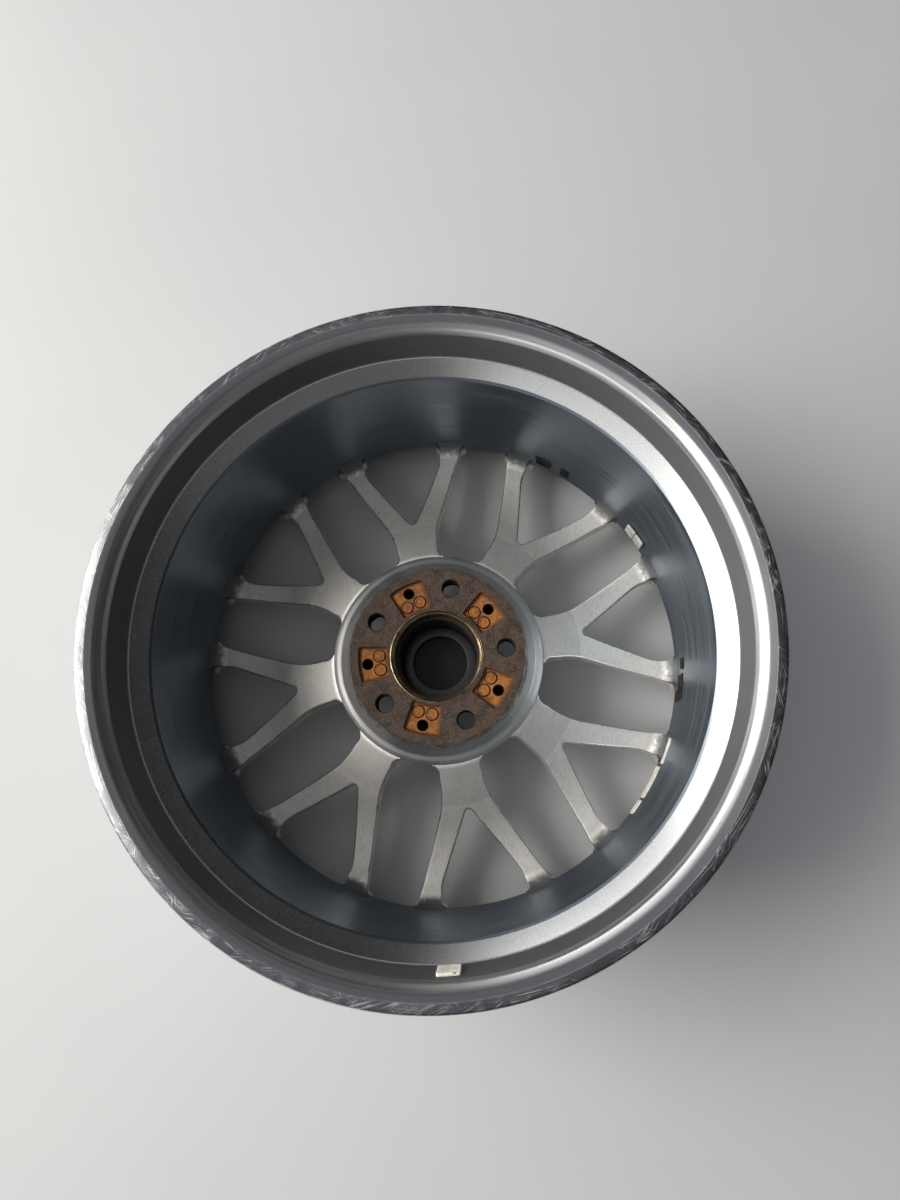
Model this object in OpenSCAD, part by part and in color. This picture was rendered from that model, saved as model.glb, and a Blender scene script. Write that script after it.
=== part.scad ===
// Forged one-piece racing wheel rim, 18 x 8.5 J, eight Y-shaped spokes, five bolts on a 120 mm circle.
// Frame: +Z along the wheel's axis towards the vehicle, z = 0 on the hub mounting face, one bolt hole on +Y.

/* [Rim] */
// Diameter across the bead seats
bead_seat_d = 462; // [458:1:466]
// Width between the two flanges
rim_width = 215.9; // [212:0.1:220]
// Height of a flange above its bead seat
flange_h = 17.3; // [16:0.1:18]
// Axial width of one flange
flange_t = 12.7; // [12:0.1:14]
// Distance from the rim's centre plane to the hub mounting face
offset_et = 15; // [13:0.5:17]
// Radius of the inner wall where the spokes meet it
wall_r = 213.3; // [212:0.1:214]

/* [Hub] */
// Diameter of the flat mounting pad
pad_d = 151; // [149:0.5:153]
// Radius where the hub ends and the spokes start
hub_r = 92; // [91:0.1:93]
// Depth of the hub from the mounting face to its outboard face
hub_t = 60; // [58:1:62]
// Pitch circle diameter of the bolt holes
bolt_pcd = 120; // [119:0.1:121]
// Diameter of a bolt hole
bolt_hole_d = 15; // [14:0.1:16]
// Diameter of the centre bore
centre_bore_d = 72.6; // [72:0.1:73]
// Outer diameter of the spigot ring that carries the centre bore
ring_d = 81.4; // [81:0.1:82]
// Axial length of the spigot ring
ring_h = 14; // [13:0.5:15]
// Depth of a relief pocket between two bolt holes
pocket_depth = 3.5; // [2.5:0.5:4.5]

/* [Spokes] */
// Half angle between the two arms of one spoke
fork_angle = 29.3; // [28.5:0.1:30]
// Distance from the axis to the point where the arms would meet
fork_x = 128.1; // [127:0.1:129]
// Half width of a window between two spokes, at its widest place
window_half_w = 27.4; // [27:0.1:27.8]
// Slope of the back of a spoke next to the hub, in degrees
back_slope = 26; // [25.5:0.1:26.5]
// Depth of the spokes' outboard face below the mounting face, at the rim
front_depth = 76; // [75:0.5:77]
// Fillet between the back of an arm and the rim wall
arm_fillet = 14; // [12:0.5:15]

/* [Centre cap] */
// Inner radius of the hub bore that takes the centre cap
cap_bore_r = 34; // [33.5:0.1:34.5]
// Depth of the cap's inner shoulder below the mounting face
cap_shoulder_z = 49; // [48:0.5:50]

/* [Valve] */
// Angle of the valve round the wheel, behind one arm
valve_azimuth = 306.1; // [305.8:0.1:306.4]
// Tilt of the valve from the wheel's axis
valve_tilt = 22; // [21.5:0.1:22.5]
// Diameter of the valve hole
valve_hole_d = 8.3; // [8.1:0.1:8.5]
// Diameter of the valve's threaded stem
stem_d = 7.8; // [7.6:0.1:7.9]

/* [Balance tape] */
// Thickness of a stick-on balance weight
weight_t = 2.5; // [2:0.1:3.5]
// Thickness of the tape and foam left on the wall
tape_t = 1.2; // [1:0.1:1.6]

/* [Hidden] */
$fn = 96;

// Rim planes and radii
bead_r = bead_seat_d / 2;
flange_r = bead_r + flange_h;
rim_total = rim_width + 2 * flange_t;
z_in = rim_total / 2 + offset_et;
z_out = z_in - rim_total;
inner_split_z = z_in - 57;
outer_split_z = -50;
drum_r = 218.2;
well_r = 217.2;
drum_inner_r = 213.5;
cone_z = -55;
cone_end = [222.5, -front_depth];
lip_inner_r = 226.9;

// Spokes
spoke_count = 8;
spoke_pitch = 360 / spoke_count;
first_spoke = spoke_pitch / 2;
hub_edge_z = -17.4;
spoke_root_z = -48;
back_bend_x = 138;
back_bend_r = 132;
back_end_slope = 2.5;
nose_r = 3.3;
fork_corner_r = 4.5;
fork_side_angle = 10.8;
fork_knee_x = 190;
window_corner_r = 4;
window_side_angle = 6.5;
window_root = [101, 12.4];
window_root_r = 9;
window_flare_r = 71;
window_flare_x = 130;
tip_angle = 15;

// Hub
hub_boss_r = 79;
bolt_count = 5;
bolt_angle = 90;
bolt_pocket_r = 16.5;
bolt_seat_z = -18;
bolt_cone_r = 13;
pocket_r = [42.6, 67.7];
pocket_w = [24, 31];
pocket_hole_r = 4.5;
pocket_hole_depth = 28;
pocket_hole_at = 60.2;
mark_r = 4.7;
mark_h = 0.6;
clip_wire_r = 0.7;
clip_z = -8;
cap_seat_r = 37.5;
cap_seat_depth = 3;

// Valve, along its own axis: 0 on the seat inside the tyre, positive towards the outboard side
valve_seat = [223.5, -64.5];
valve_head_r = 6.4;
valve_spot_r = 6.7;
valve_head_t = 2.5;
seal_t = 3;
nut_seat_z = 10.5;
washer_t = 1;
nut_t = 4.5;
nut_af = 11;
stem_tip_z = 31;
core_chamber_r = 2.5;
core_chamber_z = 6;
air_hole_r = 1.5;
core_z = [12, 30.4];
pin_r = 0.75;
pin_bore_r = 0.8;
pin_cup_r = 1.9;
spring_r = [0.95, 1.5];
spring_z = [21, 27];
spring_room_r = 1.65;
cap_thread_gap = 0.07;
cap_z = [18.5, 37];
cap_seal_z = [stem_tip_z + 0.05, stem_tip_z + 1.2];
cap_outer_r = 5.1;

// Places of the stick-on pieces: angle from, angle to, z from, z to
weight_place = [40.8, 47.0, -43, -27];
rim_weight_place = [283.6, 287.8, 103, 121];
strip_places = [[332.8, 336.8, -52, -37], [337.2, 345.8, -52, -36], [346.2, 352.8, -39, -30]];
scrap_places = [[66.9, 69.4, -48, -32], [71.9, 76.5, -49, -32], [1.4, 4.2, -46, -38.5],
    [1.4, 8, -38.5, -24], [8.8, 11.6, -31, -21]];

// ---- Helpers ----

function arc(c, r, a0, a1, n) =
    [for (i = [0:n]) let (a = a0 + (a1 - a0) * i / n) c + r * [cos(a), sin(a)]];

function polar(r, a) = r * [cos(a), sin(a)];

function flipped(points) = [for (i = [len(points) - 1:-1:0]) [points[i][0], -points[i][1]]];

module ring(r_in, r_out, z0, z1) {
    translate([0, 0, z0])
        difference() {
            cylinder(r = r_out, h = z1 - z0);
            translate([0, 0, -1]) cylinder(r = r_in, h = z1 - z0 + 2);
        }
}

// Sector of a revolved rectangle, standing on the inside of a wall
module wall_patch(r_in, r_out, place) {
    rotate([0, 0, place[0]])
        rotate_extrude(angle = place[1] - place[0])
            translate([r_in, place[2]]) square([r_out - r_in, place[3] - place[2]]);
}

// Puts a child drawn along the valve's own axis in its place
module at_valve() {
    rotate([0, 0, valve_azimuth])
        translate([valve_seat[0], 0, valve_seat[1]])
            rotate([0, 180 + valve_tilt, 0]) children();
}

// Everything that is drilled and spot-faced for the valve
module valve_drilling() {
    at_valve() {
        translate([0, 0, -15]) cylinder(r = valve_spot_r, h = 15);
        translate([0, 0, -1]) cylinder(d = valve_hole_d, h = 30);
        translate([0, 0, nut_seat_z]) cylinder(r = valve_spot_r + 0.3, h = 20);
    }
}

// ---- Rim ----

// One flange with its bead seat and hump, on the tyre side; s is +1 inboard and -1 outboard
function flange_outline(z_face, s) = [
    [flange_r - 2, z_face],
    [flange_r - 0.6, z_face - s * 0.6],
    [flange_r, z_face - s * 2],
    [flange_r, z_face - s * 7.5],
    [flange_r - 0.8, z_face - s * 9.6],
    [flange_r - 3, z_face - s * 11.7],
    [flange_r - 6, z_face - s * flange_t],
    [bead_r + 6.3, z_face - s * flange_t],
    [bead_r + 3.3, z_face - s * (flange_t + 0.8)],
    [bead_r + 1, z_face - s * (flange_t + 3)],
    [bead_r + 0.3, z_face - s * (flange_t + 6)],
    [bead_r - 1.1, z_face - s * (flange_t + 19.5)],
    [bead_r - 0.4, z_face - s * (flange_t + 22)],
    [bead_r - 0.1, z_face - s * (flange_t + 23.7)],
    [bead_r - 0.5, z_face - s * (flange_t + 25.4)],
    [bead_r - 1.8, z_face - s * (flange_t + 27)]];

module inner_lip() {
    color("silver")
        rotate_extrude()
            polygon(concat(
                flange_outline(z_in, 1),
                [[bead_r - 1.8, z_in - 43], [drum_r + 1, z_in - 54], [drum_r, inner_split_z],
                 [drum_inner_r, inner_split_z], [drum_inner_r, z_in - 53.6],
                 [drum_inner_r + 0.7, z_in - 52.3], [215.5, z_in - 50.8], [225.9, z_in - 39.6],
                 [226.5, z_in - 39.2],
                 [228.6, z_in - 12], [229.4, z_in - 8.6], [231.6, z_in - 5.6], [237.8, z_in - 1],
                 [240.3, z_in]]));
}

module barrel() {
    color("darkgray")
        rotate_extrude()
            polygon([
                [drum_inner_r, inner_split_z], [drum_r, inner_split_z], [drum_r, 2], [well_r, -14],
                [well_r, outer_split_z], [wall_r, outer_split_z], [wall_r, -38]]);
}

module outer_lip() {
    color("silver")
        difference() {
            rotate_extrude()
                polygon(concat(
                    flange_outline(z_out, -1),
                    [[well_r + 0.8, -53], [well_r, -51], [well_r, outer_split_z],
                     [wall_r, outer_split_z], [wall_r, cone_z], cone_end,
                     [lip_inner_r - 1.4, -front_depth - 0.6], [lip_inner_r, -front_depth - 2],
                     [lip_inner_r + 0.3, z_out + 12], [229.6, z_out + 8], [234.6, z_out + 3.2],
                     [240.3, z_out]]));
            valve_drilling();
        }
}

// ---- Hub ----

// Sector-shaped relief pocket with a blind hole in its floor
module relief_pocket() {
    translate([0, 0, -pocket_depth])
        linear_extrude(height = pocket_depth + 1)
            intersection() {
                polygon([
                    [pocket_r[0] - 3, -pocket_w[0] / 2], [pocket_r[1] + 3, -pocket_w[1] / 2],
                    [pocket_r[1] + 3, pocket_w[1] / 2], [pocket_r[0] - 3, pocket_w[0] / 2]]);
                difference() {
                    circle(r = pocket_r[1]);
                    circle(r = pocket_r[0]);
                }
            }
    translate([pocket_hole_at, 0, -pocket_hole_depth])
        cylinder(r = pocket_hole_r, h = pocket_hole_depth);
}

// Bolt hole with its 60 degree seat and the wrench pocket on the outboard side
module bolt_hole() {
    translate([bolt_pcd / 2, 0, 0]) {
        translate([0, 0, -hub_t - 1]) cylinder(d = bolt_hole_d, h = hub_t + 2);
        translate([0, 0, bolt_seat_z - 9.5])
            cylinder(r1 = bolt_cone_r, r2 = bolt_hole_d / 2, h = 9.5);
        translate([0, 0, -hub_t - 1])
            cylinder(r = bolt_pocket_r, h = hub_t + 1 + bolt_seat_z - 9.5);
    }
}

module hub() {
    pad_r = pad_d / 2;
    color("saddlebrown")
        difference() {
            union() {
                difference() {
                    rotate_extrude()
                        polygon([
                            [cap_bore_r, -hub_t], [hub_boss_r, -hub_t], [hub_boss_r + 2, -hub_t + 1],
                            [hub_boss_r + 6, spoke_root_z - 2], [hub_boss_r + 8.5, spoke_root_z],
                            [hub_r, spoke_root_z], [hub_r, hub_edge_z],
                            [hub_r - 1, -15.6], [hub_r - 3.5, -14], [pad_r + 9.5, -12.3],
                            [pad_r + 4.5, -8], [pad_r + 1.2, -1.6], [pad_r, 0],
                            [ring_d / 2, 0], [ring_d / 2, -ring_h], [cap_bore_r, -ring_h]]);
                    for (i = [0:bolt_count - 1])
                        rotate([0, 0, bolt_angle + (i + 0.5) * 360 / bolt_count]) relief_pocket();
                }
                // Two round marks stand on the floor of each pocket
                for (i = [0:bolt_count - 1], s = [-1, 1])
                    rotate([0, 0, bolt_angle + (i + 0.5) * 360 / bolt_count])
                        translate([49.5, s * 6, -pocket_depth - 0.5])
                            cylinder(r = mark_r, h = mark_h + 0.5);
            }
            for (i = [0:bolt_count - 1])
                rotate([0, 0, bolt_angle + i * 360 / bolt_count]) bolt_hole();
            translate([0, 0, -hub_t - 1]) cylinder(r = cap_seat_r, h = cap_seat_depth + 1);
            ring_clip_wire();
        }
}

module ring_clip_wire() {
    rotate_extrude() translate([ring_d / 2, clip_z]) circle(r = clip_wire_r, $fn = 24);
}

module spigot_ring() {
    color("tan")
        difference() {
            rotate_extrude()
                polygon([
                    [centre_bore_d / 2, -ring_h], [ring_d / 2, -ring_h], [ring_d / 2, -0.6],
                    [ring_d / 2 - 0.6, 0], [centre_bore_d / 2 + 3.2, 0],
                    [centre_bore_d / 2, -3.4]]);
            ring_clip_wire();
        }
}

module spigot_ring_clip() {
    color("dimgray") ring_clip_wire();
}

// ---- Spokes ----

// Half of a window's rim end: a rounded corner inside the wall, then straight out to the lip
function rim_end(side_angle, corner_r) =
    let (lean = asin(corner_r / (wall_r - corner_r)),
         middle = polar(wall_r - corner_r, side_angle - lean),
         tip = arc(middle, corner_r, 90 + side_angle, side_angle - lean + tip_angle, 6))
    concat(tip, [polar(wall_r, side_angle - lean - 0.1), polar(wall_r, side_angle),
        polar(lip_inner_r + 3, side_angle)]);

// Window between the two arms of one spoke
module fork_window() {
    knee_y = (fork_knee_x - fork_x) * tan(fork_angle);
    half = concat(
        arc([fork_x + nose_r / sin(fork_angle), 0], nose_r, 180, 90 + fork_angle, 5),
        [[fork_knee_x, knee_y], [fork_knee_x + 5.2, knee_y + 2]],
        rim_end(fork_side_angle, fork_corner_r));
    polygon(concat(half, flipped(half)));
}

// Window between two neighbouring spokes
module side_window() {
    flare_c = [window_flare_x, window_half_w - window_flare_r];
    lean = atan2(window_root[1] - flare_c[1], window_root[0] - flare_c[0]);
    half = concat(
        [[hub_r - 4, window_root[1]]],
        arc(window_root, window_root_r, 172, lean, 6),
        arc(flare_c, window_flare_r, lean - 3, 88, 8),
        rim_end(window_side_angle, window_corner_r));
    polygon(concat(half, flipped(half)));
}

module spoke_outline() {
    half_pitch = spoke_pitch / 2;
    difference() {
        intersection() {
            difference() {
                circle(r = lip_inner_r + 1);
                circle(r = hub_r);
            }
            polygon([[0, 0], polar(300, -half_pitch), polar(300, half_pitch)]);
        }
        fork_window();
        for (s = [-1, 1]) rotate([0, 0, s * half_pitch]) side_window();
    }
}

// Outline of a spoke's back face in r and z, from the hub to the top of its rim fillet
function spoke_back() =
    let (bend_z = hub_edge_z - (back_bend_x - hub_r) * tan(back_slope),
         c = [back_bend_x, bend_z] + back_bend_r * [sin(back_slope), cos(back_slope)],
         flat_z = c[1] - back_bend_r * cos(back_end_slope) - 0.4)
    concat(
        [[hub_r, hub_edge_z]],
        arc(c, back_bend_r, 270 - back_slope, 270 - back_end_slope, 8),
        arc([wall_r - arm_fillet, flat_z + arm_fillet], arm_fillet, 270, 360, 8));

// Cross-section of a spoke in r and z, from the hub to the lip
module spoke_section() {
    polygon(concat(spoke_back(), [
        [wall_r, cone_z], cone_end, [hub_r, spoke_root_z]]));
}

module spoke(angle) {
    color("lightgray")
        rotate([0, 0, angle])
            intersection() {
                translate([0, 0, -100]) linear_extrude(height = 100) spoke_outline();
                rotate_extrude(start = -spoke_pitch, angle = 2 * spoke_pitch) spoke_section();
            }
}

module spoke_1() { spoke(first_spoke); }
module spoke_2() { spoke(first_spoke + spoke_pitch); }
module spoke_3() { spoke(first_spoke + 2 * spoke_pitch); }
module spoke_4() { spoke(first_spoke + 3 * spoke_pitch); }
module spoke_5() { spoke(first_spoke + 4 * spoke_pitch); }
module spoke_6() { spoke(first_spoke + 5 * spoke_pitch); }
// The valve is drilled through the root of one of this spoke's arms
module spoke_7() {
    difference() {
        spoke(first_spoke + 6 * spoke_pitch);
        valve_drilling();
    }
}
module spoke_8() { spoke(first_spoke + 7 * spoke_pitch); }

// ---- Centre cap ----

module centre_cap_body() {
    color("black")
        rotate_extrude()
            polygon([
                [24.6, -cap_shoulder_z], [33.4, -cap_shoulder_z], [33.4, -hub_t + cap_seat_depth],
                [37.2, -hub_t + cap_seat_depth], [37.2, -hub_t + 0.3], [30, -hub_t + 0.3],
                [30, -hub_t + 2.6], [31.2, -hub_t + 2.6], [31.2, -cap_shoulder_z - 2.2],
                [24.6, -cap_shoulder_z - 2.2]]);
}

module centre_cap_disc() {
    color("dimgray")
        translate([0, 0, -hub_t])
            cylinder(r = 30, h = 2.4);
}

module centre_cap_spring() {
    color("silver")
        rotate_extrude() translate([30.2, -54]) circle(r = 1, $fn = 24);
}

// ---- Valve ----

module valve_stem() {
    color("silver")
        at_valve()
            difference() {
                union() {
                    translate([0, 0, -seal_t - valve_head_t])
                        cylinder(r = valve_head_r, h = valve_head_t);
                    translate([0, 0, -seal_t - 0.01]) cylinder(d = stem_d, h = stem_tip_z + seal_t + 0.01);
                }
                translate([0, 0, -10]) cylinder(r = air_hole_r, h = 50);
                translate([0, 0, core_chamber_z]) cylinder(r = core_chamber_r, h = 40);
            }
}

module valve_seal() {
    color("black")
        at_valve() {
            ring(stem_d / 2, valve_head_r - 0.2, -seal_t, 0);
            ring(stem_d / 2, valve_hole_d / 2, -0.01, 3);
        }
}

module valve_washer() {
    color("silver")
        at_valve() ring(valve_hole_d / 2, 6.3, nut_seat_z, nut_seat_z + washer_t);
}

module valve_nut() {
    color("silver")
        at_valve()
            translate([0, 0, nut_seat_z + washer_t])
                difference() {
                    cylinder(r = nut_af / 2 / cos(30), h = nut_t, $fn = 6);
                    translate([0, 0, -1]) cylinder(d = stem_d, h = nut_t + 2);
                }
}

module valve_core_body() {
    color("goldenrod")
        at_valve()
            difference() {
                translate([0, 0, core_z[0]])
                    cylinder(r = core_chamber_r, h = core_z[1] - core_z[0]);
                translate([0, 0, core_z[0] - 1]) cylinder(r = pin_bore_r, h = 30);
                translate([0, 0, spring_z[0]]) cylinder(r = spring_room_r, h = 30);
            }
}

module valve_core_pin() {
    color("goldenrod")
        at_valve() {
            translate([0, 0, core_z[0] - 2]) cylinder(r = pin_cup_r, h = 2);
            translate([0, 0, core_z[0] - 1]) cylinder(r = pin_r, h = stem_tip_z - 0.5 - core_z[0] + 1);
            translate([0, 0, spring_z[1]]) cylinder(r = spring_r[1], h = 1);
        }
}

module valve_core_spring() {
    color("silver")
        at_valve() ring(spring_r[0], spring_r[1], spring_z[0], spring_z[1]);
}

module valve_cap() {
    color("black")
        at_valve()
            difference() {
                translate([0, 0, cap_z[0]]) cylinder(r = cap_outer_r, h = cap_z[1] - cap_z[0]);
                translate([0, 0, cap_z[0] - 1])
                    cylinder(r = stem_d / 2 + cap_thread_gap, h = cap_seal_z[1] + 0.05 - cap_z[0] + 1);
            }
}

module valve_cap_seal() {
    color("red")
        at_valve() ring(1.4, 3.7, cap_seal_z[0], cap_seal_z[1]);
}

// ---- Stick-on pieces ----

module balance_weight() {
    color("lightgray") wall_patch(wall_r - 0.8 - weight_t, wall_r - 0.8, weight_place);
}

module weight_foam() {
    color("dimgray") wall_patch(wall_r - 0.8, wall_r, weight_place);
}

module rim_weight() {
    color("ivory")
        intersection() {
            wall_patch(221, 240, rim_weight_place);
            rotate_extrude()
                polygon([
                    [226.5 - weight_t, z_in - 38.8], [226.5, z_in - 38.8],
                    [228.6, z_in - 12], [228.6 - weight_t, z_in - 12]]);
        }
}

module tape_strip() {
    color("beige")
        for (place = strip_places) wall_patch(wall_r - tape_t, wall_r, place);
}

module foam_scraps() {
    color("black")
        for (place = scrap_places) wall_patch(wall_r - tape_t, wall_r, place);
}

inner_lip();
barrel();
outer_lip();
hub();
spoke_1();
spoke_2();
spoke_3();
spoke_4();
spoke_5();
spoke_6();
spoke_7();
spoke_8();
spigot_ring();
spigot_ring_clip();
centre_cap_body();
centre_cap_disc();
centre_cap_spring();
valve_stem();
valve_seal();
valve_washer();
valve_nut();
valve_core_body();
valve_core_pin();
valve_core_spring();
valve_cap();
valve_cap_seal();
balance_weight();
weight_foam();
rim_weight();
tape_strip();
foam_scraps();
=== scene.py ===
"""Looks of a forged one-piece racing wheel rim, lying on its outboard face and seen from its inboard side.

Every shape is given in millimetres in the frame of the CAD part: +Z along the wheel's axis towards the
vehicle, z = 0 on the hub's mounting face. One detailed piece replaces each CAD node.
"""

import math

import bmesh
import bpy
import numpy as np
from mathutils import Matrix, Vector
from mathutils.geometry import delaunay_2d_cdt


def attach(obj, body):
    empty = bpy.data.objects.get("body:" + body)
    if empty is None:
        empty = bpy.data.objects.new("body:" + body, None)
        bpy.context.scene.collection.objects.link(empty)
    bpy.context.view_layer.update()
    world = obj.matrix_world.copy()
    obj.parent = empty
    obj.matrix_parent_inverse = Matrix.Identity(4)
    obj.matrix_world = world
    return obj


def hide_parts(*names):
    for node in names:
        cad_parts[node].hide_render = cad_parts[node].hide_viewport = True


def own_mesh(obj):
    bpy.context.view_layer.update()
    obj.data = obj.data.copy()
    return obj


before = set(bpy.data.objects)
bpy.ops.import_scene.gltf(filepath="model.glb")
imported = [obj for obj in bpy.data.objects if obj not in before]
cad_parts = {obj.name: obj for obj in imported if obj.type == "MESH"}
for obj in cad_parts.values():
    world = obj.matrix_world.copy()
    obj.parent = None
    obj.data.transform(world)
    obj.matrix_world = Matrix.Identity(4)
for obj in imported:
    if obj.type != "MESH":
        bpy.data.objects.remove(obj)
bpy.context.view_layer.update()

MM = 0.001
BIG_SEGS, HUB_SEGS, SMALL_SEGS = 320, 256, 48

# ---- Sizes shared with the CAD part, in millimetres and degrees ----
FLANGE_R, BEAD_R, FLANGE_T = 248.3, 231.0, 12.7
Z_IN, Z_OUT = 135.65, -105.65
WALL_R = 213.3
HUB_R, HUB_T = 92.0, 60.0
FRONT_R, FRONT_Z = 222.5, -76.0
RING_R, RING_H, BORE_R, WIRE_Z = 40.7, 14.0, 36.3, -8.0
PAD_R = 75.5
POCKET_IN, POCKET_OUT, POCKET_ANGLE, BOLT_STEP = 42.6, 67.7, 126, 72
SPOKE_STEP = 45
BAND_R, BAND_MIDDLE, BAND_TAPER = 226.5, 112.0, 2.1 / 26.8
CONE_LOW, CONE_HIGH = (215.4, Z_IN - 51.3), (225.75, Z_IN - 39.65)
SPLIT_IN, SPLIT_OUT, BARREL_R, SHELL_R = Z_IN - 57, -50, 213.5, (218.2, 217.2)
SCUFF_R = 235.0
VALVE_AZIMUTH, VALVE_TILT, VALVE_SEAT = 306.1, 22.0, (223.5, -64.5)


# ---- Mesh helpers ----

def polar(radius, degrees):
    return (radius * math.cos(math.radians(degrees)), radius * math.sin(math.radians(degrees)))


def rotated(x, y, degrees):
    """A point turned about the origin."""
    c, s = math.cos(math.radians(degrees)), math.sin(math.radians(degrees))
    return (x * c - y * s, x * s + y * c)


def arc(centre, radius, start, end, steps):
    angles = np.radians(np.linspace(start, end, steps + 1))
    return [(centre[0] + radius * math.cos(a), centre[1] + radius * math.sin(a)) for a in angles]


def rounded(points, steps=5, closed=True):
    """A polyline of (x, y) or (x, y, fillet radius) with its corners rounded to true arcs."""
    points = [tuple(p) + (0.0,) * (3 - len(p)) for p in points]
    out = []
    for i, (x, y, radius) in enumerate(points):
        here = np.array((x, y))
        if radius <= 0 or (not closed and i in (0, len(points) - 1)):
            out.append((x, y))
            continue
        before = np.array(points[i - 1][:2]) - here
        after = np.array(points[(i + 1) % len(points)][:2]) - here
        len_before, len_after = np.linalg.norm(before), np.linalg.norm(after)
        before, after = before / len_before, after / len_after
        half = math.acos(float(np.clip(before @ after, -1, 1))) / 2
        reach = min(radius / math.tan(half), 0.48 * len_before, 0.48 * len_after)
        radius = reach * math.tan(half)
        middle = before + after
        centre = here + middle / np.linalg.norm(middle) * radius / math.sin(half)
        first, last = here + before * reach - centre, here + after * reach - centre
        start = math.atan2(first[1], first[0])
        turn = (math.atan2(last[1], last[0]) - start + math.pi) % (2 * math.pi) - math.pi
        for k in range(steps + 1):
            a = start + turn * k / steps
            out.append((centre[0] + radius * math.cos(a), centre[1] + radius * math.sin(a)))
    return out


def mesh_object(name, verts, faces, sharp=28.0, matrix=None, materials=(), face_material=None):
    """A smooth-shaded object from points in millimetres, with its edges above an angle kept sharp."""
    mesh = bpy.data.meshes.new(name)
    mesh.from_pydata((np.array(verts, float) * MM).tolist(), [], faces)
    for material in materials:
        mesh.materials.append(material)
    if face_material is not None:
        mesh.polygons.foreach_set("material_index", np.array(face_material, np.int32))
    obj = bpy.data.objects.new(name, mesh)
    bpy.context.scene.collection.objects.link(obj)
    if matrix is not None:
        obj.matrix_world = matrix
    clean(obj, sharp)
    return obj


def clean(obj, sharp=28.0, merge=1e-6):
    mesh = obj.data
    bm = bmesh.new()
    bm.from_mesh(mesh)
    bmesh.ops.remove_doubles(bm, verts=bm.verts, dist=merge)
    bmesh.ops.dissolve_degenerate(bm, dist=1e-7, edges=bm.edges)
    bmesh.ops.recalc_face_normals(bm, faces=bm.faces)
    limit = math.radians(sharp)
    for face in bm.faces:
        face.smooth = True
    for edge in bm.edges:
        edge.smooth = len(edge.link_faces) == 2 and edge.calc_face_angle(0.0) < limit
    bm.to_mesh(mesh)
    bm.free()
    mesh.update()


def quads(rows, sides, closed=True):
    """Faces between rows of points; every row is a ring of the same number of sides."""
    return [(i * sides + j, i * sides + (j + 1) % sides,
             (i + 1) % rows * sides + (j + 1) % sides, (i + 1) % rows * sides + j)
            for i in range(rows if closed else rows - 1) for j in range(sides)]


def lathe_mesh(profile, segs):
    """Points and faces of a closed profile of (r, z), revolved about Z."""
    count = len(profile)
    angles = np.linspace(0, 2 * math.pi, segs, endpoint=False)
    radii = np.array([p[0] for p in profile])
    heights = np.array([p[1] for p in profile])
    verts = np.stack([
        np.outer(np.cos(angles), radii), np.outer(np.sin(angles), radii),
        np.tile(heights, (segs, 1))], axis=2).reshape(-1, 3)
    faces = [(a, d, c, b) for a, b, c, d in quads(segs, count)]
    return verts, faces


def lathe(name, profile, segs=BIG_SEGS, sharp=28.0, matrix=None):
    verts, faces = lathe_mesh(profile, segs)
    return mesh_object(name, verts, faces, sharp, matrix)


def tube(name, path, radius, sides=14):
    """A wire of round section along an open path, with domed ends."""
    path = np.array(path, float)
    ahead = np.roll(path, -1, 0) - np.roll(path, 1, 0)
    ahead[0], ahead[-1] = path[1] - path[0], path[-1] - path[-2]
    ahead /= np.linalg.norm(ahead, axis=1)[:, None]
    side = np.cross(ahead, (0.0, 0.0, 1.0))
    side /= np.linalg.norm(side, axis=1)[:, None]
    up = np.cross(side, ahead)
    turn = np.linspace(0, 2 * math.pi, sides, endpoint=False)
    ring = np.cos(turn)[None, :, None] * side[:, None] + np.sin(turn)[None, :, None] * up[:, None]
    rows = [path[:, None] + radius * ring]
    for scale, push in ((0.72, 0.7), (0.2, 0.98)):
        rows.insert(0, path[:1, None] + radius * (scale * ring[:1] - push * ahead[:1, None]))
        rows.append(path[-1:, None] + radius * (scale * ring[-1:] + push * ahead[-1:, None]))
    verts = np.concatenate(rows).reshape(-1, 3)
    total = len(verts) // sides
    faces = quads(total, sides, False)
    faces.append(tuple(range(sides)))
    faces.append(tuple((total - 1) * sides + j for j in reversed(range(sides))))
    return mesh_object(name, verts, faces, 60.0)


def open_ring(name, radius, z, gap, steps, wire_r):
    """A ring of wire with a gap at azimuth 0; gap is half its angle in degrees."""
    angles = np.radians(np.linspace(gap, 360 - gap, steps))
    return tube(name, [(radius * math.cos(a), radius * math.sin(a), z) for a in angles], wire_r)


def densified(points, spacing):
    """A closed outline with extra points, so that no two are further apart than the spacing."""
    out = []
    for (x0, y0), (x1, y1) in zip(points, points[1:] + points[:1]):
        pieces = max(1, int(math.ceil(math.hypot(x1 - x0, y1 - y0) / spacing)))
        out += [(x0 + (x1 - x0) * k / pieces, y0 + (y1 - y0) * k / pieces) for k in range(pieces)]
    return np.array(out)


def inside(points, loop):
    """Which points lie inside a closed loop, and how far each is from the loop's nearest corner."""
    x, y = points[:, 0][:, None], points[:, 1][:, None]
    x0, y0 = loop[:, 0][None], loop[:, 1][None]
    x1, y1 = np.roll(loop[:, 0], -1)[None], np.roll(loop[:, 1], -1)[None]
    crosses = (y0 > y) != (y1 > y)
    at = x0 + (y - y0) * (x1 - x0) / np.where(y1 == y0, 1e-12, y1 - y0)
    within = (np.sum(crosses & (x < at), axis=1) % 2) == 1
    return within, np.sqrt(np.min((x - x0) ** 2 + (y - y0) ** 2, axis=1))


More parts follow.
